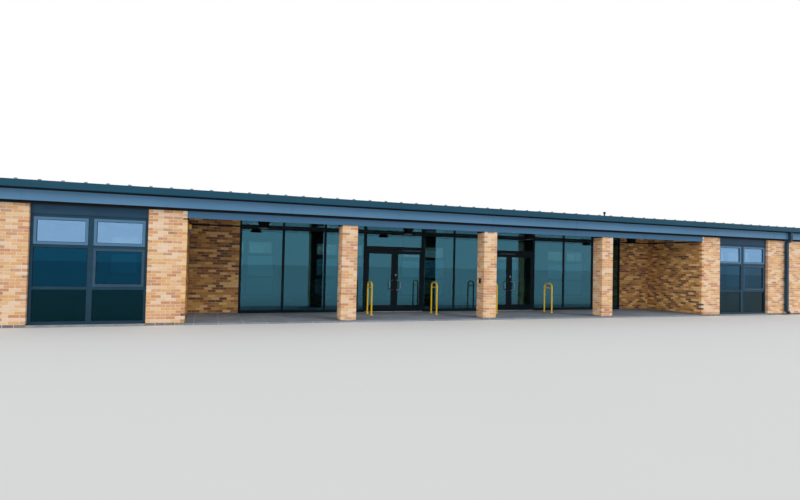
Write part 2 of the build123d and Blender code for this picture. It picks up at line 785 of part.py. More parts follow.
# Vent pipe on the front slope, standing between two seams and cut to the slope at its collar
with BuildPart() as vent_pipe:
    vent_x = seam_pitch * (vent_seam_number + 0.5 * (seam_count % 2))
    vent_y = y_front + vent_depth
    vent_base = roof_line(vent_y, sheet_lift)
    vent_top = vent_base + vent_rise
    with BuildSketch(Plane(origin=(vent_x, vent_y, 0), x_dir=(1, 0, 0), z_dir=(0, -1, 0))):
        with BuildLine():
            Polyline(
                (0, vent_base - vent_collar_radius),
                (vent_collar_radius, vent_base - vent_collar_radius),
                (vent_collar_radius, vent_base + sheet_thickness + vent_collar_radius * slope),
                (vent_radius, vent_base + vent_collar_height),
                (vent_radius, vent_top - vent_cowl_height),
                (vent_cowl_radius, vent_top),
                (0, vent_top - vent_cowl_dish),
                close=True,
            )
        make_face()
    revolve(axis=Axis((vent_x, vent_y, 0), (0, 0, 1)))
    roof_surface = Plane(origin=(vent_x, vent_y, vent_base), z_dir=(0, -slope, 1))
    split(bisect_by=roof_surface, keep=Keep.TOP)
save(vent_pipe, "vent_pipe")
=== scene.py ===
# %% [markdown]
# # School building: brick walls, a glazed porch and a low metal roof
# The building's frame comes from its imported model, so every wall, window, door and pipe already has its
# true size. This lesson adds what makes it look built: bricks in their bond, coated metal, tinted glass and
# the small parts that a fitter would add. All lengths are in metres, with +X to the right, +Y to the rear
# and +Z up.

# %% Load the frame
import math
import random

import bmesh
import bpy
from mathutils import Matrix, Vector
from mathutils.bvhtree import BVHTree


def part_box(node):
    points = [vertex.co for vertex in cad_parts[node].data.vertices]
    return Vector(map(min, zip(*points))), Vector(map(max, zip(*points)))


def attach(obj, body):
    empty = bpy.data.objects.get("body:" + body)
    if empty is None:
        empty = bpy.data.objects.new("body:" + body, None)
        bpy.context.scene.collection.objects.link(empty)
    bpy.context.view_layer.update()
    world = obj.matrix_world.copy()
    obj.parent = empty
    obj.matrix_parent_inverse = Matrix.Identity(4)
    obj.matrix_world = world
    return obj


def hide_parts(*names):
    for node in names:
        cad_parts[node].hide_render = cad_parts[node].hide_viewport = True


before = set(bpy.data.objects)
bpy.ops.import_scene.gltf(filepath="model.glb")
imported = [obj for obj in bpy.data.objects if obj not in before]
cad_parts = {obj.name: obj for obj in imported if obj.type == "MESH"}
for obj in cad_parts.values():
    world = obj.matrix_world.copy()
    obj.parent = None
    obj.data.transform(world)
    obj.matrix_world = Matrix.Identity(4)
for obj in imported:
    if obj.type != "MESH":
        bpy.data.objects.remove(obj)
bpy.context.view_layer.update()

# %% [markdown]
# ## Camera
# The photograph was taken in front of the left half of the building, 1.65 m above the ground, through a
# wide lens turned to the right. A constraint could aim a camera at some target, but it leaves no hold on
# the roll. So the place and the three turns, worked out from the brick courses and the corners of the
# walls, are written down here, and the directions of the camera's own axes follow from them.

# %% Camera at the photograph's viewpoint
camera_place = Vector((-8.165, -19.798, 1.652))
turn_right = 0.347778
turn_up = 0.0253193
roll = 0.0219002
up = Vector((0, 0, 1))


def add_object(name, data):
    """An object in the scene that shows a mesh, a camera or a lamp."""
    thing = bpy.data.objects.new(name, data)
    bpy.context.scene.collection.objects.link(thing)
    return thing


level_forward = Vector((math.sin(turn_right), math.cos(turn_right), 0))
level_right = Vector((math.cos(turn_right), -math.sin(turn_right), 0))
forward = level_forward * math.cos(turn_up) + up * math.sin(turn_up)
level_up = level_right.cross(forward)
camera_right = level_right * math.cos(roll) + level_up * math.sin(roll)
camera_up = level_up * math.cos(roll) - level_right * math.sin(roll)

lens = bpy.data.cameras.new("camera")
lens.sensor_width = 36
lens.lens = 24.09
lens.clip_end = 500
camera = add_object("camera", lens)
axes = Matrix((camera_right, camera_up, -forward)).transposed()
camera.matrix_world = Matrix.Translation(camera_place) @ axes.to_4x4()
bpy.context.scene.camera = camera
print("camera looks along", [round(value, 3) for value in forward])

# %% [markdown]
# ## Finishes
# A real surface varies a little in colour, gloss and relief. Images wrapped round the pieces could show
# that, but noise in object space needs no unwrapping and has no seams, so each finish is one Principled
# shader with noise round it. Object space is in metres here: a scale of 40 means grains of about 25 mm.
# Numbers that are the same all over go straight into the shader, and only what varies is linked to it.

# %% Helpers that make and join nodes
def shader_of(material):
    """The Principled shader of a finish."""
    return material.node_tree.nodes["Principled BSDF"]


def new_finish(name, **sockets):
    """A material whose shader sockets are set to fixed values."""
    material = bpy.data.materials.new(name)
    material.use_nodes = True
    for socket, value in sockets.items():
        shader_of(material).inputs[socket.replace("_", " ")].default_value = value
    print("finish", name)
    return material


def add_node(owner, kind, **values):
    """A node in a material or world; a value goes to the input of that name, or else to the setting."""
    node = owner.node_tree.nodes.new(kind)
    for name, value in values.items():
        if name in node.inputs:
            node.inputs[name].default_value = value
        else:
            setattr(node, name, value)
    return node


def link(owner, source, target):
    """Join an output to an input."""
    owner.node_tree.links.new(source, target)


# %% Helpers for noise and mixing
def noise(material, scale, detail=4.0, stretch=(1, 1, 1)):
    """Noise in object space, squeezed along each axis by stretch."""
    place = add_node(material, "ShaderNodeTexCoord")
    squeeze = add_node(material, "ShaderNodeMapping", Scale=stretch)
    grain = add_node(material, "ShaderNodeTexNoise", Scale=scale, Detail=detail)
    link(material, place.outputs["Object"], squeeze.inputs["Vector"])
    link(material, squeeze.outputs["Vector"], grain.inputs["Vector"])
    return grain.outputs["Fac"]


def between(material, factor, low, high, low_value=0, high_value=1):
    """Turn a factor between low and high into a value between two others."""
    limits = {"From Min": low, "From Max": high, "To Min": low_value, "To Max": high_value}
    spread = add_node(material, "ShaderNodeMapRange", **limits)
    link(material, factor, spread.inputs["Value"])
    return spread.outputs["Result"]


# A Mix node has several sockets called A and B, so the ones for colours are found by their numbers.
first_socket, second_socket, mixed_socket = 6, 7, 2


def blend_colors(material, factor, first, second):
    """Mix two colours, each a fixed colour or another node's output."""
    mixer = add_node(material, "ShaderNodeMix", data_type="RGBA")
    link(material, factor, mixer.inputs["Factor"])
    for socket, color in ((mixer.inputs[first_socket], first), (mixer.inputs[second_socket], second)):
        if isinstance(color, tuple):
            socket.default_value = (*color, 1)
        else:
            link(material, color, socket)
    return mixer.outputs[mixed_socket]


# %% Helpers for colour, gloss and relief
def shade(material, factor, first, second):
    """Let the shader's colour run from the first to the second with a factor."""
    link(material, blend_colors(material, factor, first, second), shader_of(material).inputs["Base Color"])


def vary_roughness(material, factor, low, high):
    """Let the roughness follow a noise."""
    link(material, between(material, factor, 0.3, 0.7, low, high), shader_of(material).inputs["Roughness"])


def add_bump(material, height, strength, distance):
    """Raise the surface by a noise, up to distance metres."""
    bump = add_node(material, "ShaderNodeBump", Strength=strength, Distance=distance)
    link(material, height, bump.inputs["Height"])
    link(material, bump.outputs["Normal"], shader_of(material).inputs["Normal"])


def grained(name, first, second, scale, detail=4.0, stretch=(1, 1, 1), spread=None, gloss=None, relief=None,
            **sockets):
    """A finish of two shades whose grain also sets the roughness and the bump, if these are given."""
    material = new_finish(name, **sockets)
    grain = noise(material, scale, detail, stretch)
    shade(material, between(material, grain, *spread) if spread else grain, first, second)
    if gloss:
        vary_roughness(material, grain, *gloss)
    if relief:
        add_bump(material, grain, *relief)
    return material


# %% [markdown]
# ## Brick and mortar
# The walls are a multi brick: most bricks are buff, some ochre or orange, a few nearly brown, and dark blue
# ones make the bottom course. Each colour could be a material of its own, but the mix would be hard to
# change. Here each brick carries a number between 0 and 1 in an attribute called tone, and a colour ramp
# turns that number into a fired colour. Fine noise then breaks up the face, and wider noise lets whole
# areas drift.

# %% Fired colours
fired_colors = [
    (0.00, (0.80, 0.57, 0.37)),
    (0.15, (0.76, 0.47, 0.23)),
    (0.35, (0.72, 0.39, 0.14)),
    (0.52, (0.82, 0.62, 0.46)),
    (0.66, (0.66, 0.33, 0.17)),
    (0.80, (0.57, 0.24, 0.11)),
    (0.92, (0.54, 0.29, 0.17)),
    (0.985, (0.38, 0.20, 0.12)),
]
# The porch walls take darker, browner colours than the outer walls: painted shade and warm bounced light of
# the deep porch under its roof.
porch_shade_colors = [
    (0.00, (0.88, 0.56, 0.22)),
    (0.16, (0.68, 0.36, 0.09)),
    (0.40, (0.50, 0.23, 0.05)),
    (0.62, (0.36, 0.14, 0.04)),
    (0.80, (0.20, 0.07, 0.03)),
    (0.93, (0.10, 0.04, 0.03)),
]
blue_colors = [
    (0.00, (0.05, 0.075, 0.10)),
    (0.50, (0.08, 0.11, 0.14)),
]
print(len(fired_colors) + len(porch_shade_colors) + len(blue_colors), "fired colours")


# %% Brick finishes
def make_brick(name, colors, grain_depth=0.002, bloom=0.25):
    """Fired clay whose shade follows each brick's own tone. bloom is how much pale dust lies on it."""
    material = new_finish(name, Roughness=0.85, Specular_IOR_Level=0.3)
    tone = add_node(material, "ShaderNodeAttribute", attribute_name="tone")
    ramp = add_node(material, "ShaderNodeValToRGB")
    ramp.color_ramp.interpolation = "CONSTANT"
    stops = ramp.color_ramp.elements
    stops_of_new_ramp = len(stops)
    for number, (position, color) in enumerate(colors):
        stop = stops[number] if number < stops_of_new_ramp else stops.new(position)
        stop.position = position
        stop.color = (*color, 1)
    link(material, tone.outputs["Fac"], ramp.inputs["Fac"])
    grain = noise(material, 120, detail=5)
    cloud = noise(material, 9, detail=4)
    drift = noise(material, 0.6, detail=3)
    speckle = between(material, grain, 0.3, 0.7, 0, 0.30)
    dark = blend_colors(material, speckle, ramp.outputs["Color"], (0.34, 0.19, 0.10))
    pale = blend_colors(material, between(material, cloud, 0.45, 0.75, 0, bloom), dark, (0.78, 0.60, 0.42))
    shade(material, between(material, drift, 0.35, 0.7, 0, bloom / 2), pale, (0.74, 0.50, 0.40))
    vary_roughness(material, grain, 0.78, 0.95)
    add_bump(material, grain, 0.7, grain_depth)
    return material


buff_brick = make_brick("buff_brick", fired_colors)
porch_shade_brick = make_brick("porch_shade_brick", porch_shade_colors, bloom=0.1)
blue_brick = make_brick("blue_engineering_brick", blue_colors, grain_depth=0.001)


# %% Mortar and plaster
def make_mortar(name, first, second):
    """Sandy mortar of two close shades."""
    return grained(name, first, second, scale=300, detail=3, spread=(0.3, 0.7), relief=(0.6, 0.0015),
                   Roughness=0.95, Specular_IOR_Level=0.2)


mortar = make_mortar("mortar", (0.72, 0.64, 0.53), (0.84, 0.77, 0.65))
# The porch mortar is the same mortar painted darker and browner: painted shade of the deep porch.
porch_shade_mortar = make_mortar("porch_shade_mortar", (0.44, 0.32, 0.19), (0.55, 0.42, 0.26))
plaster = grained(
    "plaster", (0.60, 0.60, 0.57), (0.66, 0.65, 0.62), scale=8, relief=(0.2, 0.001), Roughness=0.9)

# %% [markdown]
# ## Coated metal
# Fascia, gutters, pipes and window frames are sheet and profiles that are coated in the factory. One
# material with a colour for each object could serve them all, but their sheen differs as well, so one
# function makes a finish for each: two close shades in soft patches, a faint orange-peel bump and uneven
# gloss. The fascia is a satin blue-grey, the gutter in front of it darker and greener, and the screen
# frames are nearly black.

# %% Coated metal finishes
def coated_metal(name, color, worn, roughness, weather=0.5, shine=0.2):
    """Factory-coated sheet. weather is the scale of its patches, and shine its specular level."""
    material = new_finish(name, Specular_IOR_Level=shine)
    patches = noise(material, weather, detail=6, stretch=(1, 1, 3))
    fine = noise(material, 60, detail=3)
    shade(material, between(material, patches, 0.35, 0.65), color, worn)
    vary_roughness(material, fine, roughness - 0.04, roughness + 0.06)
    add_bump(material, fine, 0.15, 0.0006)
    return material


fascia_metal = coated_metal("fascia_metal", (0.078, 0.196, 0.338), (0.094, 0.220, 0.376), 0.40)
cladding_metal = coated_metal("cladding_metal", (0.044, 0.128, 0.235), (0.053, 0.144, 0.262), 0.40)
gutter_metal = coated_metal("gutter_metal", (0.004, 0.053, 0.094), (0.008, 0.065, 0.112), 0.42)
pipe_metal = coated_metal("pipe_metal", (0.010, 0.040, 0.075), (0.015, 0.052, 0.092), 0.42)
roof_metal = coated_metal("roof_metal", (0.075, 0.115, 0.155), (0.105, 0.150, 0.195), 0.45, weather=0.25)
# The tabs are the roof's own sheet, made paler as a painted highlight on the seam ends.
tab_highlight_metal = coated_metal("tab_highlight_metal", (0.24, 0.27, 0.31), (0.32, 0.35, 0.39), 0.40)
window_metal = coated_metal("window_metal", (0.007, 0.040, 0.072), (0.010, 0.048, 0.086), 0.34, weather=2.0)
sash_metal = coated_metal("sash_metal", (0.025, 0.068, 0.115), (0.033, 0.080, 0.130), 0.34, weather=2.0)
panel_metal = coated_metal("panel_metal", (0.011, 0.050, 0.098), (0.016, 0.060, 0.116), 0.38, weather=2.0)
frame_metal = coated_metal(
    "frame_metal", (0.002, 0.009, 0.015), (0.004, 0.013, 0.021), 0.34, weather=2.0, shine=0.1)

# %% [markdown]
# ## A paler top row
# The frames of the opening lights in the top row get a paler colour: a painted reflection of the sky, which
# these lights face. They could be cut off as a piece with a finish of its own. It is simpler to let the one
# finish ask for the height above the ground, which object space gives, so that the frame's own piece stays
# whole.

# %% Top row of the opening lights
top_transom = 1.89
blend_height = 0.001
place = add_node(sash_metal, "ShaderNodeTexCoord")
split = add_node(sash_metal, "ShaderNodeSeparateXYZ")
link(sash_metal, place.outputs["Object"], split.inputs["Vector"])
sky_reflection_row = between(sash_metal, split.outputs["Z"], top_transom - blend_height, top_transom + blend_height)
lower_rows = shader_of(sash_metal).inputs["Base Color"].links[0].from_socket
# Above the top transom the frames take a paler colour: a painted reflection of the sky.
shade(sash_metal, sky_reflection_row, lower_rows, (0.075, 0.175, 0.300))
print("paler above", top_transom, "m")

# %% [markdown]
# ## Paint and bare metal
# The guard hoops are painted yellow and darker in worn spots, the pull bars are brushed steel, and bare
# aluminium makes the thresholds. Brushing could be drawn as an image of scratches. Noise that is squeezed
# hard across the lines does it too: up the bars on the steel, and along the doorway on the aluminium.

# %% Paint, steel and aluminium
yellow_paint = grained(
    "yellow_paint", (0.95, 0.62, 0.002), (0.70, 0.40, 0.004), scale=14, detail=8, spread=(0.58, 0.72),
    gloss=(0.25, 0.45), Specular_IOR_Level=0.25, Coat_Weight=0.2, Coat_Roughness=0.1)
satin_steel = grained(
    "satin_steel", (0.24, 0.26, 0.27), (0.36, 0.38, 0.39), scale=30, detail=6, stretch=(30, 30, 1),
    gloss=(0.22, 0.36), Metallic=1.0)
bare_aluminium = grained(
    "bare_aluminium", (0.50, 0.50, 0.50), (0.70, 0.70, 0.69), scale=20, detail=8, stretch=(1, 25, 1),
    gloss=(0.3, 0.5), Metallic=1.0)

# %% [markdown]
# ## Glass
# Double glazing lets tinted light through and carries a mirror image that its solar coating colours. Two
# sheets with a gap would be true to life but slow to render. One solid pane serves here: its shader
# transmits light, and a high index with a tinted mirror image stands for the coating. A faint bump gives
# the glass its waviness.

# %% Glass finishes
def tinted_glass(name, tint, mirror_index, mirror_tint):
    """Double glazing: tinted light through it, a tinted mirror image on it and a faint waviness."""
    material = new_finish(
        name, Base_Color=(*tint, 1), Transmission_Weight=1.0, Roughness=0.0, IOR=mirror_index,
        Specular_Tint=(*mirror_tint, 1))
    add_bump(material, noise(material, 0.8, detail=1), 0.05, 0.002)
    return material


screen_tint = tinted_glass("screen_glass", (0.12, 0.24, 0.27), 2.3, (0.22, 0.68, 0.92))
# The darkest tint, for the bottom row, is painted shade of the rooms behind it.
bottom_shade_tint = tinted_glass("bottom_glass_painted_shade", (0.015, 0.055, 0.070), 1.7, (0.08, 0.42, 0.58))
window_tint = tinted_glass("window_glass", (0.03, 0.11, 0.17), 2.0, (0.05, 0.43, 0.80))
# The paler tint and strong, bluer mirror image of the top row are a painted reflection of the sky.
casement_sky_tint = tinted_glass("casement_glass_painted_sky", (0.20, 0.36, 0.54), 5.6, (0.35, 0.62, 1.0))

# %% [markdown]
# ## Plastic, rubber and stone
# The porch ceiling is a gloss panel that mirrors the screen below it, and the small fittings are moulded
# plastic. Each could be a single colour, but in a near view that looks like a toy, so every one has a grain
# at its own scale. Floors, sills and the roof boards have two: clouds for the colour and sand for the
# relief.

# %% Plastic, rubber and panel finishes
gloss_panel = grained(
    "gloss_panel", (0.008, 0.022, 0.028), (0.012, 0.030, 0.036), scale=0.7, detail=3, Roughness=0.05,
    Specular_IOR_Level=0.8, Coat_Weight=1.0, Coat_Roughness=0.02)
black_plastic = grained(
    "black_plastic", (0.003, 0.004, 0.005), (0.008, 0.009, 0.010), scale=250, detail=2, gloss=(0.4, 0.6),
    relief=(0.2, 0.0004), Specular_IOR_Level=0.2)
rubber = grained(
    "rubber", (0.008, 0.008, 0.009), (0.016, 0.016, 0.017), scale=90, gloss=(0.6, 0.8),
    Specular_IOR_Level=0.1)
opal_lens = grained(
    "opal_lens", (0.70, 0.70, 0.67), (0.78, 0.78, 0.76), scale=12, Roughness=0.3, Subsurface_Weight=0.3)
alarm_yellow = grained(
    "alarm_yellow", (0.95, 0.54, 0.01), (0.98, 0.60, 0.03), scale=10, Roughness=0.3, Coat_Weight=0.3)
alarm_blue = grained(
    "alarm_blue", (0.008, 0.055, 0.36), (0.012, 0.08, 0.45), scale=40, detail=1, stretch=(1, 1, 0.1),
    relief=(0.3, 0.002), Roughness=0.12, Transmission_Weight=0.4, Coat_Weight=0.5)


# %% Stone, concrete and board finishes
def stone(name, first, second, scale, roughness):
    """Concrete, cast stone or board: two shades in clouds, with a sandy bump."""
    material = new_finish(name)
    cloud = noise(material, scale, detail=8)
    sand = noise(material, 220, detail=3)
    shade(material, between(material, cloud, 0.35, 0.65), first, second)
    vary_roughness(material, sand, roughness - 0.08, roughness + 0.08)
    add_bump(material, sand, 0.4, 0.001)
    return material


porch_paving = stone("porch_paving", (0.17, 0.20, 0.25), (0.24, 0.27, 0.32), 1.6, 0.7)
floor_concrete = stone("floor_concrete", (0.18, 0.18, 0.18), (0.24, 0.24, 0.23), 1.2, 0.6)
cast_stone = stone("cast_stone", (0.20, 0.21, 0.23), (0.27, 0.28, 0.29), 6, 0.75)
roof_board = stone("roof_board", (0.40, 0.34, 0.26), (0.48, 0.42, 0.33), 3, 0.8)

# %% [markdown]
# ## Dress the frame
# A node of the frame whose shape is right only needs its finish. Building it again would risk a second size
# for the same thing. The list says which finish each node takes. The walls, the piers, the porch floor and
# the window glass are missing from it, because bricks, flags and sorted panes take their places further
# down.

# %% Finishes for the frame's own pieces
finish_of = {
    "floor_slab": floor_concrete, "porch_soffit": gloss_panel, "window_sills": cast_stone,
    "porch_beams": roof_board, "wall_beams": roof_board, "gable_beams": roof_board,
    "roof_deck_front": roof_board, "roof_deck_rear": roof_board,
    "roof_sheet_front": roof_metal, "roof_sheet_rear": roof_metal,
    "ridge_cap": roof_metal, "verge_flashings": roof_metal, "vent_pipe": panel_metal,
    "eaves_fascias": fascia_metal, "gable_fascias": fascia_metal, "beam_cladding": cladding_metal,
    "gutters": gutter_metal, "downpipes": pipe_metal,
    "window_frames": window_metal, "window_sashes": sash_metal, "window_head_panels": panel_metal,
    "screen_frames": frame_metal, "door_head_frames": frame_metal, "screen_glass": screen_tint,
    "door_thresholds": bare_aluminium, "door_hinge_seats": frame_metal, "door_guard_hoops": yellow_paint,
    "soffit_lights": black_plastic, "soffit_light_lenses": opal_lens, "entry_reader": black_plastic,
    "alarm_box": alarm_yellow, "alarm_lens": alarm_blue,
}
leaves = [f"{door}_{leaf}" for door in ("left_door", "right_door") for leaf in ("left_leaf", "right_leaf")]
for leaf in leaves:
    finish_of[leaf] = frame_metal
    finish_of[leaf + "_glass"] = screen_tint
    finish_of[leaf + "_handles"] = satin_steel

for node, material in finish_of.items():
    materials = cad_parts[node].data.materials
    materials.clear()
    materials.append(material)
print("dressed", len(finish_of), "of", len(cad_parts), "nodes")

# %% [markdown]
# ## Where the solids are
# One node can hold several separate solids, such as the three piers. Their places could be typed in, but
# then they would go wrong when the frame changes. Instead the corners that touch are joined, a walk along
# the edges from one corner to the next finds each solid, and its lowest and highest corner give its box.

# %% Find the solids in a node
weld_distance = 0.00001


def node_copy(node):
    """A bmesh copy of a node in which the corners that touch are joined."""
    shape = bmesh.new()
    shape.from_mesh(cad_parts[node].data)
    bmesh.ops.remove_doubles(shape, verts=shape.verts, dist=weld_distance)
    return shape


def solid_boxes(node):
    """The lowest and highest corner of every separate solid in a node, from left to right."""
    shape = node_copy(node)
    seen = set()
    boxes = []
    for start in shape.verts:
        if start in seen:
            continue
        seen.add(start)
        solid = [start]
        for vert in solid:
            for edge in vert.link_edges:
                other = edge.other_vert(vert)
                if other not in seen:
                    seen.add(other)
                    solid.append(other)
        values = list(zip(*(vert.co for vert in solid)))
        boxes.append((Vector(map(min, values)), Vector(map(max, values))))
    shape.free()
    return sorted(boxes, key=lambda box: [round(value, 3) for value in box[0]])


piers = solid_boxes("porch_piers")
windows = solid_boxes("window_frames")
print(len(piers), "piers,", len(windows), "windows")

# %% [markdown]
# ## Pieces that belong to the frame
# A new mesh becomes part of the building in three steps: it takes the place of a node if it stands for one,
# it names the kind of material that it is, and it rides on the body that carries it. Each piece could do
# this for itself, but a helper forgets nothing.

# %% Helper that finishes a piece
def new_piece(name, mesh, materials, body="building", node=None):
    """A piece made of a mesh or a bmesh, on its body, with the node that it stands for if there is one."""
    if isinstance(mesh, bmesh.types.BMesh):
        shape, mesh = mesh, bpy.data.meshes.new(name)
        shape.to_mesh(mesh)
        shape.free()
    for material in materials:
        mesh.materials.append(material)
    piece = add_object(name, mesh)
    if node:
        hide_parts(node)
    print(name, "has", len(mesh.polygons), "faces and rides on", body)
    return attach(piece, body)


# %% [markdown]
# ## Bricks in their bond
# A brick is 215 x 102.5 x 65 mm with a 10 mm joint, so a course rises 75 mm and a stretcher takes 225 mm.
# Every other course starts half a brick along. An Array modifier could repeat one brick, but not turn a
# corner, where two walls share bricks: the long side shows on one face, the short end on the other, and
# they swap at the next course. So each course is set out in half bricks, as a bricklayer does. Between the
# ends the bricks are a little longer or shorter, so that the run comes out even. Where an odd half is left
# between two corners, two three-quarter bricks in the middle take it up.

# %% Set out a course
brick_length = 0.215
brick_height = 0.065
brick_width = 0.1025
joint = 0.010
course_rise = brick_height + joint
half_pitch = (brick_length + joint) / 2


def set_out_course(halves, full_start, right_corner):
    """Where the bricks of a course meet, counted in half bricks from the left end of the run."""
    here = 0 if full_start else 1
    end = halves - 1 if right_corner and not full_start else halves
    if right_corner and halves % 2:
        before = (halves - 3) // 4
        after = (end - here - 3) // 2 - before
        lengths = [2] * before + [1.5, 1.5] + [2] * after
    else:
        lengths = [2] * ((end - here) // 2) + [1] * ((end - here) % 2)
    meets = [here]
    for length in lengths:
        meets.append(meets[-1] + length)
    return meets


# %% Lay one face of wall
def lay_run(bricks, left, right, top, leads, corners):
    """Lay the bricks between two points of the plan, the left and right end as seen from outside.

    leads says whether the bottom course starts with a whole brick. corners says for the left and the right
    end whether another wall returns there.
    """
    start = Vector((*left, 0))
    length = math.hypot(right[0] - left[0], right[1] - left[1])
    along = Vector(((right[0] - left[0]) / length, (right[1] - left[1]) / length, 0))
    outward = Vector((along.y, -along.x, 0))
    left_corner, right_corner = corners
    halves = round((length + joint) / half_pitch)
    inner_half = (length + joint - 2 * half_pitch) / (halves - 2)

    def place(count):
        """The distance from the left end at which a brick begins after so many half bricks."""
        if count <= 1:
            return count * half_pitch
        if count >= halves - 1:
            return length + joint - (halves - count) * half_pitch
        return half_pitch + (count - 1) * inner_half

    for course in range(math.ceil((top - joint) / course_rise)):
        low = course * course_rise + joint / 2
        high = min(low + brick_height, top)
        full_start = (course % 2 == 0) == leads
        meets = set_out_course(halves, full_start, right_corner)
        if not full_start and not left_corner:
            meets.insert(0, 0)
        for first, last in zip(meets, meets[1:]):
            bricks.append((start, along, outward, place(first), place(last) - joint, low, high, course))


# %% Turn the bricks into one mesh
arris = 0.0035
unevenness = 0.0012
faces_per_brick = 9


def brick_mesh(name, bricks, seed):
    """One mesh of bricks, each with a worn arris round its face, its own tone and its own small setback.

    The bottom course takes the second finish of the mesh, the others take the first.
    """
    dice = random.Random(seed)
    verts, faces, tones, slots = [], [], [], []
    for start, along, outward, left, right, low, high, course in bricks:
        proud = -dice.uniform(0, unevenness)
        tone = dice.random()
        first = len(verts)
        for depth, inset in ((-brick_width, 0), (proud - arris, 0), (proud, arris)):
            for u, z in ((left + inset, low + inset), (right - inset, low + inset),
                         (right - inset, high - inset), (left + inset, high - inset)):
                verts.append(start + along * u + outward * depth + up * z)
        for ring in (first, first + 4):
            for side in range(4):
                after = (side + 1) % 4
                faces.append((ring + side, ring + after, ring + 4 + after, ring + 4 + side))
        faces.append((first + 8, first + 9, first + 10, first + 11))
        tones += [tone] * faces_per_brick
        slots += [0 if course else 1] * faces_per_brick
    mesh = bpy.data.meshes.new(name)
    mesh.from_pydata(verts, [], faces)
    mesh.attributes.new("tone", "FLOAT", "FACE").data.foreach_set("value", tones)
    mesh.polygons.foreach_set("material_index", slots)
    return mesh


# %% [markdown]
# ## Which faces get bricks
# Every face of wall is a run between two points of the plan. The points could be listed by hand, but the
# frame knows them: each window frame fills its opening from side to side, so the walls are what is left
# beside them.

# %% Places read from the frame
front_low, front_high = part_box("front_walls")
porch_low, porch_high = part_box("porch_floor")
screen_low, screen_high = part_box("screen_frames")
soffit_low, soffit_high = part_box("porch_soffit")
wall_head = front_high.z
ceiling = soffit_low.z
wall_left, wall_right = front_low.x, front_high.x
wall_front, wall_rear = front_low.y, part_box("rear_wall")[1].y
wall_thickness = front_high.y - front_low.y


def stretches(low, high, gaps):
    """What is left of the stretch from low to high beside the gaps."""
    edges = [low]
    for gap in sorted(gaps):
        edges += gap
    edges.append(high)
    return list(zip(edges[::2], edges[1::2]))


front_gaps = [(low.x, high.x) for low, high in windows if high.y < wall_front + wall_thickness]
rear_gaps = [(low.x, high.x) for low, high in windows if low.y > wall_rear - wall_thickness]
left_gaps = [(low.y, high.y) for low, high in windows if high.x < wall_left + wall_thickness]
right_gaps = [(low.y, high.y) for low, high in windows if low.x > wall_right - wall_thickness]
print(len(front_gaps), len(rear_gaps), len(left_gaps), len(right_gaps), "windows on the four sides")

# %% Lay the outer walls
front_bricks, rear_bricks, gable_bricks = [], [], []
for low, high in stretches(wall_left, wall_right, front_gaps + [(porch_low.x, porch_high.x)]):
    ends = (low in (wall_left, porch_high.x), high in (wall_right, porch_low.x))
    lay_run(front_bricks, (low, wall_front), (high, wall_front), wall_head, True, ends)
for low, high in stretches(wall_left, wall_right, rear_gaps):
    ends = (high == wall_right, low == wall_left)
    lay_run(rear_bricks, (high, wall_rear), (low, wall_rear), wall_head, True, ends)
for low, high in stretches(wall_front, wall_rear, left_gaps):
    ends = (high == wall_rear, low == wall_front)
    lay_run(gable_bricks, (wall_left, high), (wall_left, low), wall_head, False, ends)
for low, high in stretches(wall_front, wall_rear, right_gaps):
    ends = (low == wall_front, high == wall_rear)
    lay_run(gable_bricks, (wall_right, low), (wall_right, high), wall_head, False, ends)
print(len(front_bricks), len(rear_bricks), len(gable_bricks), "bricks in the outer walls")

# %% Lay the porch walls and the piers
side_bricks, back_bricks, pier_bricks = [], [], []
porch_back = porch_high.y
lay_run(side_bricks, (porch_low.x, wall_front), (porch_low.x, porch_back), ceiling, False, (True, False))
lay_run(side_bricks, (porch_high.x, porch_back), (porch_high.x, wall_front), ceiling, False, (False, True))
for low, high in ((porch_low.x, screen_low.x), (screen_high.x, porch_high.x)):
    lay_run(back_bricks, (low, porch_back), (high, porch_back), ceiling, True, (False, False))
for low, high in piers:
    corners = [(low.x, low.y), (high.x, low.y), (high.x, high.y), (low.x, high.y)]
    for side in range(4):
        lay_run(pier_bricks, corners[side], corners[(side + 1) % 4], ceiling, side % 2 == 0, (True, True))

laid = {
    "front_walls": (front_bricks, buff_brick), "rear_wall": (rear_bricks, buff_brick),
    "gable_walls": (gable_bricks, buff_brick), "porch_side_walls": (side_bricks, porch_shade_brick),
    "porch_back_walls": (back_bricks, porch_shade_brick), "porch_piers": (pier_bricks, buff_brick),
}
for seed, (node, (bricks, finish)) in enumerate(laid.items()):
    name = node + "_bricks"
    new_piece(name, brick_mesh(name, bricks, seed), (finish, blue_brick))
print(sum(len(bricks) for bricks, finish in laid.values()), "bricks in all")

# %% [markdown]
# ## The mortar behind the bricks
# Mortar joints are raked back a few millimetres, which draws the thin shadow line round every brick. A bump
# could fake the joints on a flat wall, but it fails at the corners and in a low view. The wall's own solid
# is flush with the brick faces, so a core stands for it: a copy whose outdoor faces, and those beside a
# window, are drawn in. Faces towards the rooms stay where they are and are plastered.

# %% Which side of a wall a point is on
probe = 0.02


def on_porch(x, y):
    """Whether a point of the plan is between the walls of the porch, behind its piers."""
    return porch_low.x < x < porch_high.x and piers[0][1].y + probe < y < porch_high.y


def outdoors(x, y):
    """Whether a point of the plan is in the open or on the porch."""
    in_plan = wall_left < x < wall_right and wall_front < y < wall_rear
    return not in_plan or (porch_low.x < x < porch_high.x and y < porch_high.y)


def beside_frame(x, y):
    """Whether a point of the plan is in an opening that a window or the glazed screen fills."""
    for low, high in windows + [(screen_low, screen_high)]:
        reach_x, reach_y = (wall_thickness, 0) if high.x - low.x < high.y - low.y else (0, wall_thickness)
        if low.x - reach_x <= x <= high.x + reach_x and low.y - reach_y <= y <= high.y + reach_y:
            return True
    return False


# %% Cores of the walls
mortar_recess = 0.006
upright_limit = 0.5
mortar_slot, plaster_slot, porch_shade_mortar_slot = range(3)


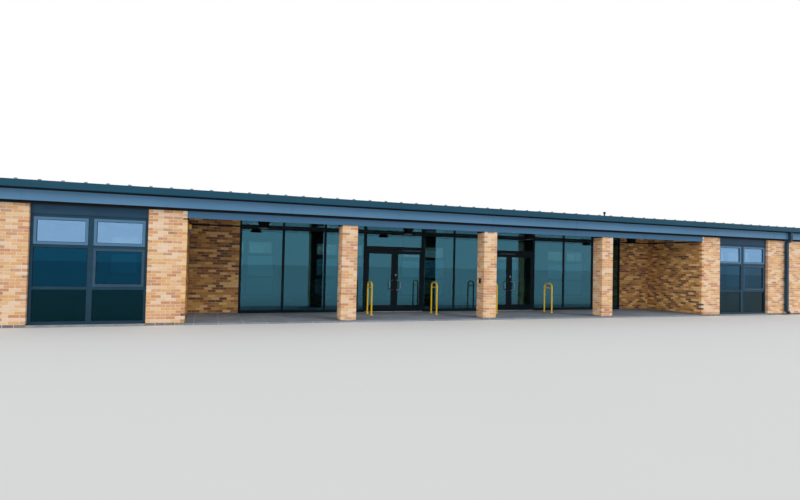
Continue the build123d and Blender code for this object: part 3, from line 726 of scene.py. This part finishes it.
def wall_core(node):
    """A copy of a wall whose faces to the open are drawn in to the back of the joints."""
    core = node_copy(node)
    pulls = {}
    for face in core.faces:
        face.material_index = plaster_slot
        if abs(face.normal.z) > upright_limit:
            continue
        spot = face.calc_center_median() + face.normal * probe
        in_open = outdoors(spot.x, spot.y)
        if in_open:
            # Faces on the porch take the mortar with the porch's painted shade.
            face.material_index = porch_shade_mortar_slot if on_porch(spot.x, spot.y) else mortar_slot
        if in_open or beside_frame(spot.x, spot.y):
            for vert in face.verts:
                pulls.setdefault(vert, set()).add(tuple(round(value) for value in face.normal))
    for vert, normals in pulls.items():
        for normal in normals:
            vert.co -= Vector(normal) * mortar_recess
    new_piece(node + "_core", core, (mortar, plaster, porch_shade_mortar), node=node)


for node in laid:
    wall_core(node)

# %% [markdown]
# ## Porch paving
# The porch is paved with square flags. A grid could be drawn on a slab, but it would look flat from near
# by, so the flags are real: one joined mesh of blocks with eased edges, 600 mm square, cut at the walls, on
# a bed that shows only in the joints. The flags stand for the porch floor's own solid.

# %% Helpers for blocks
def between_faces(x_faces, y_faces, z_faces):
    """The lowest and highest corner of a block, from two faces along each axis in any order."""
    faces = (x_faces, y_faces, z_faces)
    return Vector(map(min, faces)), Vector(map(max, faces))


def add_block(shape, low, high):
    """Add a block to a bmesh between its lowest and highest corner, and give its eight corners."""
    place = Matrix.Translation((low + high) / 2) @ Matrix.Diagonal((*(high - low), 1))
    return bmesh.ops.create_cube(shape, size=1, matrix=place)["verts"]


def blocks(spans, chamfer=0.0):
    """One bmesh of blocks, with eased edges if a chamfer is given."""
    shape = bmesh.new()
    for low, high in spans:
        add_block(shape, low, high)
    if chamfer:
        bmesh.ops.bevel(shape, geom=shape.edges[:], offset=chamfer, segments=1, affect="EDGES")
    return shape


def steps(low, high, pitch, gap=0.0):
    """Both ends of equal pieces laid from the middle of a stretch outwards, with the last ones cut."""
    count = math.ceil((high - low) / pitch / 2)
    middle = (low + high) / 2
    pieces = []
    for number in range(-count, count):
        near, far = middle + number * pitch, middle + (number + 1) * pitch
        if min(far, high) - max(near, low) > 2 * gap:
            pieces.append((max(near + gap / 2, low), min(far - gap / 2, high)))
    return pieces


# %% Flags and their bed
flag_size = 0.6
flag_joint = 0.006
flag_edge = 0.0025
bed_drop = 0.004

columns = steps(porch_low.x, porch_high.x, flag_size, flag_joint)
rows = steps(porch_low.y, porch_high.y, flag_size, flag_joint)
flags = [between_faces(column, row, (porch_low.z, porch_high.z)) for column in columns for row in rows]
new_piece("porch_flags", blocks(flags, chamfer=flag_edge), [porch_paving], node="porch_floor")
bed_low = Vector((porch_low.x, porch_low.y + flag_edge, porch_low.z))
new_piece("porch_paving_bed", blocks([(bed_low, porch_high - up * bed_drop)]), [mortar])
print(len(flags), "flags")

# %% [markdown]
# ## Gaskets round the glass
# Every pane is held by black rubber: a thin strip that runs round the glass on both faces and hides its
# edge. A bevelled curve could follow the pane, but it pinches at sharp corners. A square-edged ring needs
# only sixteen points, so they are placed directly. A pane's box gives its place, its thinnest side says
# which way it faces, and the ring rides on the body that carries the pane.

# %% Ring round a pane
def add_ring(shape, low, high, inner, reach):
    """A rectangular ring on the face of a pane. reach is how far it stands off, inner how wide it is."""
    size = high - low
    thin = min(range(3), key=lambda axis: size[axis])
    across, upward = [axis for axis in range(3) if axis != thin]
    face = high[thin] if reach > 0 else low[thin]
    loops = []
    for inset, level in ((0, face), (0, face + reach), (inner, face + reach), (inner, face)):
        loop = []
        for a, b in ((0, 0), (1, 0), (1, 1), (0, 1)):
            point = Vector()
            point[thin] = level
            point[across] = high[across] - inset if a else low[across] + inset
            point[upward] = high[upward] - inset if b else low[upward] + inset
            loop.append(shape.verts.new(point))
        loops.append(loop)
    for number, loop in enumerate(loops):
        following = loops[(number + 1) % 4]
        for side in range(4):
            after = (side + 1) % 4
            shape.faces.new((loop[side], loop[after], following[after], following[side]))


def rings(boxes, inner, reaches):
    """One bmesh of rings: on each box, one ring for each reach."""
    shape = bmesh.new()
    for low, high in boxes:
        for reach in reaches:
            add_ring(shape, low, high, inner, reach)
    bmesh.ops.recalc_face_normals(shape, faces=shape.faces)
    return shape


# %% Rubber on both faces of every pane
gasket_width = 0.009
gasket_depth = 0.005
held_panes = [
    ("screen_gaskets", "screen_glass", "building"),
    ("window_gaskets", "window_glass", "building"),
]
held_panes += [(leaf + "_gasket", leaf + "_glass", leaf) for leaf in leaves]
for name, node, body in held_panes:
    shape = rings(solid_boxes(node), gasket_width, (gasket_depth, -gasket_depth))
    new_piece(name, shape, [rubber], body)

# %% [markdown]
# ## Three rows of panes
# The top row of each window opens. Its glass gets a paler tint and a stronger, bluer mirror image than the
# panes below: a painted reflection of the sky that the open lights face. The bottom row gets the darkest
# tint, painted shade of the rooms near the floor behind it. Three nodes of glass could hold the rows. Here
# the panes are copied as one mesh whose faces take one of three finishes by their height.

# %% Panes sorted by their row
bottom_row_height = 0.80
top_row_height = 0.55
bottom_row, middle_row, top_row = range(3)
glass_low, glass_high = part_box("window_glass")
pane_mesh = bmesh.new()
pane_mesh.from_mesh(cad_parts["window_glass"].data)
for face in pane_mesh.faces:
    height = face.calc_center_median().z
    if height > glass_high.z - top_row_height:
        face.material_index = top_row
    else:
        face.material_index = bottom_row if height < glass_low.z + bottom_row_height else middle_row
pane_tints = (bottom_shade_tint, window_tint, casement_sky_tint)
new_piece("window_panes", pane_mesh, pane_tints, node="window_glass")

# %% [markdown]
# ## Trim of the porch ceiling
# A black channel closes the ceiling where it meets the brickwork and the piers, and thin joints divide the
# gloss panels. Both could be dark lines in the ceiling's material, but the ceiling is a mirror: a real
# channel shows in it twice as deep, which draws the strong dark line of the photograph.

# %% Edge channel
channel_height = 0.024
channel_width = 0.014
levels = (ceiling - channel_height, ceiling)
from_front = (soffit_low.y, soffit_high.y)
at_rear = (soffit_high.y - channel_width, soffit_high.y)
channels = [
    between_faces((soffit_low.x, soffit_low.x + channel_width), from_front, levels),
    between_faces((soffit_high.x - channel_width, soffit_high.x), from_front, levels),
    between_faces((soffit_low.x, screen_low.x), at_rear, levels),
    between_faces((screen_high.x, soffit_high.x), at_rear, levels),
]
for low, high in piers:
    rear_edge = high.y + channel_width
    channels.append(between_faces((low.x - channel_width, low.x), (low.y, rear_edge), levels))
    channels.append(between_faces((high.x, high.x + channel_width), (low.y, rear_edge), levels))
    channels.append(between_faces((low.x, high.x), (high.y, rear_edge), levels))
new_piece("ceiling_channels", blocks(channels, chamfer=0.001), [black_plastic])

# %% Panel joints
panel_pitch = 1.2
panel_gap = 0.004
panel_joint_depth = 0.0008


def around_joints(low, high, pitch, width):
    """Both sides of a strip of some width on every joint between pieces that are laid by steps."""
    return [(left - width / 2, left + width / 2) for left, right in steps(low, high, pitch)[1:]]


panel_joints = [
    between_faces(sides, from_front, (ceiling - panel_joint_depth, ceiling))
    for sides in around_joints(soffit_low.x, soffit_high.x, panel_pitch, panel_gap)]
new_piece("ceiling_panel_joints", blocks(panel_joints), [rubber])

# %% [markdown]
# ## Dark strips at the fascias
# Black strips of short louvres, one below the fascia and one above it hidden under the gutter, and a black
# board that closes the space below the fascia back to the wall, are painted shade: they stand in for the
# shade in the gaps there and draw the two dark lines along the front. A striped material could suggest the
# louvres, but small blocks along a backing strip also hold up in a low view.

# %% Louvred strips on the long sides
fascia_low, fascia_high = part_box("eaves_fascias")
cladding_low, cladding_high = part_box("beam_cladding")
lower_strip_height = 0.055
upper_strip_height = 0.036
strip_depth = 0.006
board_thickness = 0.004
fascia_edge = 0.012
louvre_pitch = 0.05
louvre_width = 0.036
louvre_share = (0.7, 0.3)
strips, louvres = [], []


def shade_gap_strip(face_y, side, low_x, high_x, top, height):
    """A black backing strip of painted shade on a face that looks to the front (-1) or the rear (1), with
    louvres along it.
    """
    strip_faces = (face_y, face_y + side * strip_depth)
    strips.append(between_faces((low_x, high_x), strip_faces, (top - height, top)))
    louvre_faces = (face_y, face_y + side * 2 * strip_depth)
    louvre_levels = [top - height * share for share in louvre_share]
    for number in range(int((high_x - low_x) / louvre_pitch)):
        left = low_x + (number + 0.5) * louvre_pitch - louvre_width / 2
        louvres.append(between_faces((left, left + louvre_width), louvre_faces, louvre_levels))


board_foot = fascia_low.z - board_thickness
for face_y, side, low_x, high_x in (
        (cladding_low.y, -1, cladding_low.x, cladding_high.x), (wall_front, -1, wall_left, porch_low.x),
        (wall_front, -1, porch_high.x, wall_right), (wall_rear, 1, wall_left, wall_right)):
    shade_gap_strip(face_y, side, low_x, high_x, board_foot, lower_strip_height)
    outer = (fascia_low.y if side < 0 else fascia_high.y) - side * fascia_edge
    # The black board under the fascia is painted shade of the fascia's underside.
    strips.append(between_faces((low_x, high_x), (face_y, outer), (board_foot, fascia_low.z)))
for face_y, side in ((fascia_low.y, -1), (fascia_high.y, 1)):
    shade_gap_strip(face_y, side, fascia_low.x, fascia_high.x, fascia_high.z, upper_strip_height)
new_piece("fascia_shade_gap_strips", blocks(strips + louvres), [black_plastic])
print(len(louvres), "louvres")

# %% [markdown]
# ## Seam tabs and gutter sleeves
# A folded tab closes the open end of every standing seam above the gutter. The tabs get a paler colour than
# the roof, a painted highlight on the seam ends, so from below they show as a row of small pale teeth. They
# could be spaced by a number, but the roof sheet itself knows its seams: these are the highest corners
# along its lower edge. The gutter comes in lengths of about three metres, and a sleeve covers each joint.

# %% Seam tabs
tab_half = 0.036
tab_rise = 0.016
tab_fall = 0.05
tab_depth = 0.012
tab_gap = 0.001
seam_half = 0.012
same_seam = 0.1
edge_margin = 0.001
lift_margin = 0.002
tabs = []
for node, side in (("roof_sheet_front", -1), ("roof_sheet_rear", 1)):
    sheet_low, sheet_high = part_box(node)
    edge = sheet_low.y if side < 0 else sheet_high.y
    ends = [vert.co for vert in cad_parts[node].data.vertices if abs(vert.co.y - edge) < edge_margin]
    lift = max(point.z for point in ends)
    seams = []
    for x in sorted({round(point.x, 3) for point in ends if point.z > lift - lift_margin}):
        if not seams or x - seams[-1] > same_seam:
            seams.append(x)
    for x in seams:
        centre = x + seam_half
        sides = (centre - tab_half, centre + tab_half)
        depth = (edge + side * tab_gap, edge + side * (tab_gap + tab_depth))
        tabs.append(between_faces(sides, depth, (lift - tab_fall, lift + tab_rise)))
new_piece("seam_end_tabs", blocks(tabs, chamfer=0.003), [tab_highlight_metal])
print(len(tabs), "seam tabs")

# %% Gutter sleeves
gutter_low, gutter_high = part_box("gutters")
sleeve_width = 0.075
sleeve_thickness = 0.003
gutter_length = 3.03
gutter_width = 0.2
lip = 0.02
under = gutter_low.z - sleeve_thickness
sleeves = []
for sides in around_joints(gutter_low.x, gutter_high.x, gutter_length, sleeve_width):
    for side, outer in ((-1, gutter_low.y), (1, gutter_high.y)):
        front_faces = (outer, outer + side * sleeve_thickness)
        sleeves.append(between_faces(sides, front_faces, (under, gutter_high.z - lip)))
        sleeves.append(between_faces(sides, (outer, outer - side * gutter_width), (under, gutter_low.z)))
new_piece("gutter_sleeves", blocks(sleeves, chamfer=0.001), [gutter_metal])
print(len(sleeves) // 2, "gutter sleeves")

# %% [markdown]
# ## Straps and sockets of the downpipes
# A square pipe is held at each bracket by a folded strap with an ear on both sides, and a bolt goes through
# each ear. Where one length of pipe ends inside the next there is a slightly wider socket. Both could be
# loops cut into the pipe, but they lie on it as sheets of their own, so they are thin blocks on three of
# its sides.

# %% Helper for round bars
def rod(shape, start, end, radius, tip=None, sides=12):
    """Add a round bar to a bmesh; it tapers if the tip's radius is given."""
    axis = end - start
    turn = axis.to_track_quat("Z", "Y").to_matrix().to_4x4()
    place = Matrix.Translation((start + end) / 2) @ turn
    bmesh.ops.create_cone(
        shape, cap_ends=True, segments=sides, radius1=radius, radius2=tip or radius, depth=axis.length,
        matrix=place)


# %% Straps, sockets and bolts
pipe_half = 0.05
pipe_gap = 0.03
strap_height = 0.03
strap_thickness = 0.003
strap_bands = [(level - strap_height / 2, level + strap_height / 2) for level in (0.4, 1.4, 2.4)]
socket_band = (1.9, 1.96)
outer_half = pipe_half + strap_thickness
ear_reach = pipe_half + 0.019
bolt_radius = 0.006
bolt_head = 0.005
straps = []
pipe_bolts = bmesh.new()
for low, high in solid_boxes("downpipes"):
    middle = (low.x + high.x) / 2
    side = -1 if high.y < 0 else 1
    back = (wall_front if side < 0 else wall_rear) + side * pipe_gap
    front = back + side * 2 * pipe_half
    ear_face = back + side * strap_thickness
    for band in strap_bands + [socket_band]:
        cover = (front, front + side * strap_thickness)
        straps.append(between_faces((middle - outer_half, middle + outer_half), cover, band))
        for hand in (-1, 1):
            flank = (middle + hand * pipe_half, middle + hand * outer_half)
            straps.append(between_faces(flank, (back, front), band))
            if band != socket_band:
                ear = (middle + hand * outer_half, middle + hand * ear_reach)
                straps.append(between_faces(ear, (back, ear_face), band))
                bolt = Vector((sum(ear) / 2, ear_face, sum(band) / 2))
                rod(pipe_bolts, bolt, bolt + Vector((0, side * bolt_head, 0)), bolt_radius, sides=6)
new_piece("downpipe_straps", blocks(straps), [pipe_metal])
new_piece("downpipe_bolts", pipe_bolts, [satin_steel])

# %% [markdown]
# ## Roof fixings
# The ridge cap and the verge flashings are screwed down through the sheet. Each screw has a low head of
# the roof's colour. The slope could be worked out from the roof pitch, but a ray from above finds both the
# height and the slope of the metal at any place, so the screws sit right on flat and folded parts alike.

# %% Screws along the ridge and the verges
screw_pitch = 0.45
screw_edge = 0.035
screw_radius = 0.008
screw_rise = 0.005
screw_crown = 0.0044
above_roof = 10


def screw_heads(shape, node, spots):
    """Low tapered heads on the upper side of a node at some places of the plan."""
    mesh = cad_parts[node].data
    corners = [vert.co for vert in mesh.vertices]
    surface = BVHTree.FromPolygons(corners, [face.vertices for face in mesh.polygons])
    for x, y in spots:
        point, normal, face, distance = surface.ray_cast(Vector((x, y, above_roof)), -up)
        if point:
            rod(shape, point, point + normal * screw_rise, screw_radius, screw_crown, sides=8)


def middles(low, high):
    """The middles of the pieces of one screw pitch that are laid by steps."""
    return [(left + right) / 2 for left, right in steps(low, high, screw_pitch)]


roof_screws = bmesh.new()
ridge_low, ridge_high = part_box("ridge_cap")
verge_low, verge_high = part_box("verge_flashings")
ridge_lines = (ridge_low.y + screw_edge, ridge_high.y - screw_edge)
verge_lines = (verge_low.x + screw_edge, verge_high.x - screw_edge)
ridge_spots = [(x, y) for x in middles(ridge_low.x, ridge_high.x) for y in ridge_lines]
verge_spots = [(x, y) for x in verge_lines for y in middles(verge_low.y, verge_high.y)]
screw_heads(roof_screws, "ridge_cap", ridge_spots)
screw_heads(roof_screws, "verge_flashings", verge_spots)
new_piece("roof_screws", roof_screws, [roof_metal])
print(len(ridge_spots) + len(verge_spots), "roof screws")

# %% [markdown]
# ## Feet and welds of the guard hoops
# Each leg of a hoop stands in a flange that three bolts hold down on the paving, and a bead of weld runs
# round both ends of its rung. A turned profile would do for the foot, but two short tapered bars, one on
# the other, give the same edges with fewer steps.

# %% Flanges, bolts and beads
leg_radius = 0.024
rung_drop = 0.185
flange_radius, flange_top_radius, flange_height = 0.055, 0.052, 0.006
collar_radius, collar_top_radius, collar_height = 0.032, 0.026, 0.020
anchor_circle, anchor_radius, anchor_low, anchor_height = 0.042, 0.007, 0.005, 0.007
bead_radius, bead_end_radius = 0.0225, 0.0185
bead_start, bead_length = 0.017, 0.010


def around(centre, radius, first_turn):
    """Three points on a level circle, a third of a turn apart, the first at a turn in degrees."""
    turns = [math.radians(120 * number + first_turn) for number in range(3)]
    return [centre + Vector((math.cos(turn), math.sin(turn), 0)) * radius for turn in turns]


hoop_feet, foot_bolts = bmesh.new(), bmesh.new()
for low, high in solid_boxes("door_guard_hoops"):
    leg_x = (low.x + high.x) / 2
    for leg_y, inward in ((low.y + leg_radius, 1), (high.y - leg_radius, -1)):
        foot = Vector((leg_x, leg_y, low.z))
        flange_top = foot + up * flange_height
        rod(hoop_feet, foot, flange_top, flange_radius, flange_top_radius, sides=24)
        rod(hoop_feet, flange_top, foot + up * collar_height, collar_radius, collar_top_radius, sides=24)
        for bolt in around(foot + up * anchor_low, anchor_circle, first_turn=90 * inward):
            rod(foot_bolts, bolt, bolt + up * anchor_height, anchor_radius, sides=6)
        bead = Vector((leg_x, leg_y + inward * bead_start, high.z - rung_drop))
        bead_end = bead + Vector((0, inward * bead_length, 0))
        rod(hoop_feet, bead, bead_end, bead_radius, bead_end_radius, sides=24)
new_piece("hoop_feet", hoop_feet, [yellow_paint])
new_piece("hoop_foot_bolts", foot_bolts, [satin_steel])

# %% [markdown]
# ## Locks, the entry reader and the lights
# A key cylinder sits in the lock plate of each right leaf and swings with it. The reader has a raised rim
# and a narrow status window, and three screws hold the rim of each light to its housing. Such parts could
# be in the frame as well, but nothing rests on them, so they belong to the looks alone.

# %% Lock cylinders
lock_height = 0.062
same_height = 0.001
cylinder_rise = 0.008
cylinder_radius, cylinder_face_radius, cylinder_depth = 0.0105, 0.0095, 0.003
keyhole_low = Vector((-0.001, -0.0034, -0.005))
keyhole_high = Vector((0.001, -0.0028, 0.005))
for leaf in leaves:
    plates = [
        (low, high) for low, high in solid_boxes(leaf + "_handles")
        if abs(high.z - low.z - lock_height) < same_height]
    for low, high in plates:
        seat = Vector(((low.x + high.x) / 2, low.y, (low.z + high.z) / 2 + cylinder_rise))
        cylinder = bmesh.new()
        front = seat - Vector((0, cylinder_depth, 0))
        rod(cylinder, seat, front, cylinder_radius, cylinder_face_radius, sides=20)
        for vert in add_block(cylinder, seat + keyhole_low, seat + keyhole_high):
            for face in vert.link_faces:
                face.material_index = 1
        new_piece(leaf + "_lock_cylinder", cylinder, (bare_aluminium, rubber), leaf)

# %% Reader face
reader_low, reader_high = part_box("entry_reader")
rim_inset = Vector((0, 0.012, 0.012))
rim_width, rim_rise = 0.003, 0.0015
rim_box_depth = 0.001
rim_high = Vector((reader_low.x + rim_box_depth, reader_high.y, reader_high.z)) - rim_inset
rim = rings([(reader_low + rim_inset, rim_high)], rim_width, (-rim_rise,))
new_piece("reader_rim", rim, [black_plastic])

status_half_width = 0.012
status_height = 0.004
status_drop = 0.028
status_rise = 0.001
status_y = (reader_low.y + reader_high.y) / 2
status_top = reader_high.z - status_drop
status = between_faces(
    (reader_low.x - status_rise, reader_low.x + status_rise),
    (status_y - status_half_width, status_y + status_half_width), (status_top - status_height, status_top))
new_piece("reader_status_window", blocks([status], chamfer=0.0008), [opal_lens])

# %% Screws of the lights
screw_circle = 0.1625
light_screw_radius, light_screw_tip, light_screw_rise = 0.006, 0.0045, 0.003
light_screws = bmesh.new()
for low, high in solid_boxes("soffit_lights"):
    centre = Vector(((low.x + high.x) / 2, (low.y + high.y) / 2, low.z))
    for head in around(centre, screw_circle, first_turn=30):
        rod(light_screws, head, head - up * light_screw_rise, light_screw_radius, light_screw_tip, sides=10)
new_piece("light_screws", light_screws, [satin_steel])

# %% [markdown]
# ## Sealant round the windows and the screen
# A bead of dark mastic closes the joint between a frame and the brickwork. It could be painted on, but it
# stands a little proud and catches the light, so it is a ring like the gaskets, on the side to the weather
# alone.

# %% Beads of sealant
seal_width = 0.007
seal_rise = 0.002
seals = bmesh.new()
for low, high in windows + [(screen_low, screen_high)]:
    size, middle = high - low, (low + high) / 2
    facing = middle.y if size.y < size.x else middle.x
    add_ring(seals, low, high, seal_width, math.copysign(seal_rise, facing))
bmesh.ops.recalc_face_normals(seals, faces=seals.faces)
new_piece("frame_seals", seals, [rubber])

# %% [markdown]
# ## Stage and light
# The building stands on a plain pale floor under an even pale sky, as in a studio. An image of a real sky
# could light it, but that would bring its own colours and sun. The world lights the building from all
# round, a soft sun from the front right gives the piers their brighter front and darker flank, and a lower,
# still softer one from the left reaches those flanks and the back of the porch. The camera, the mirror
# images and the light through the glass see plain white.

# %% Floor
floor_half = 200.0
below_ground = 0.002
floor_finish = grained(
    "studio_floor", (0.66, 0.66, 0.66), (0.68, 0.68, 0.68), scale=0.3, detail=2, Roughness=0.8,
    Specular_IOR_Level=0.1)
floor_mesh = bpy.data.meshes.new("studio_floor")
floor_corners = [(x * floor_half, y * floor_half, 0) for x, y in ((-1, -1), (1, -1), (1, 1), (-1, 1))]
floor_mesh.from_pydata(floor_corners, [], [(0, 1, 2, 3)])
floor_mesh.materials.append(floor_finish)
studio_floor = add_object("studio_floor", floor_mesh)
studio_floor.location.z = -below_ground

# %% Sky
sky_light = 0.72
world = bpy.data.worlds.new("studio_sky")
bpy.context.scene.world = world
world.use_nodes = True
world.node_tree.nodes.clear()
rays = add_node(world, "ShaderNodeLightPath")
shown = rays.outputs["Is Camera Ray"]
for ray in ("Is Glossy Ray", "Is Transmission Ray"):
    either = add_node(world, "ShaderNodeMath", operation="MAXIMUM")
    link(world, shown, either.inputs[0])
    link(world, rays.outputs[ray], either.inputs[1])
    shown = either.outputs[0]
lighting = add_node(world, "ShaderNodeBackground", Color=(0.92, 0.96, 1.0, 1), Strength=sky_light)
backdrop = add_node(world, "ShaderNodeBackground", Color=(1, 1, 1, 1), Strength=1.0)
choose = add_node(world, "ShaderNodeMixShader")
for number, source in enumerate((shown, lighting.outputs[0], backdrop.outputs[0])):
    link(world, source, choose.inputs[number])
link(world, choose.outputs[0], add_node(world, "ShaderNodeOutputWorld").inputs[0])
print("sky", sky_light)

# %% Lamps
for name, energy, spread, color, shines_from in (
        ("soft_sun", 1.25, 35, (1.0, 0.97, 0.93), (0.55, -0.75, 0.75)),
        ("soft_fill", 1.20, 60, (1.0, 0.94, 0.82), (-0.9, -0.6, 0.3))):
    sun = bpy.data.lights.new(name, "SUN")
    sun.energy = energy
    sun.angle = math.radians(spread)
    sun.color = color
    lamp = add_object(name, sun)
    lamp.rotation_mode = "QUATERNION"
    lamp.rotation_quaternion = Vector(shines_from).to_track_quat("Z", "Y")
    print(name, energy)

bpy.context.scene.view_settings.view_transform = "Standard"
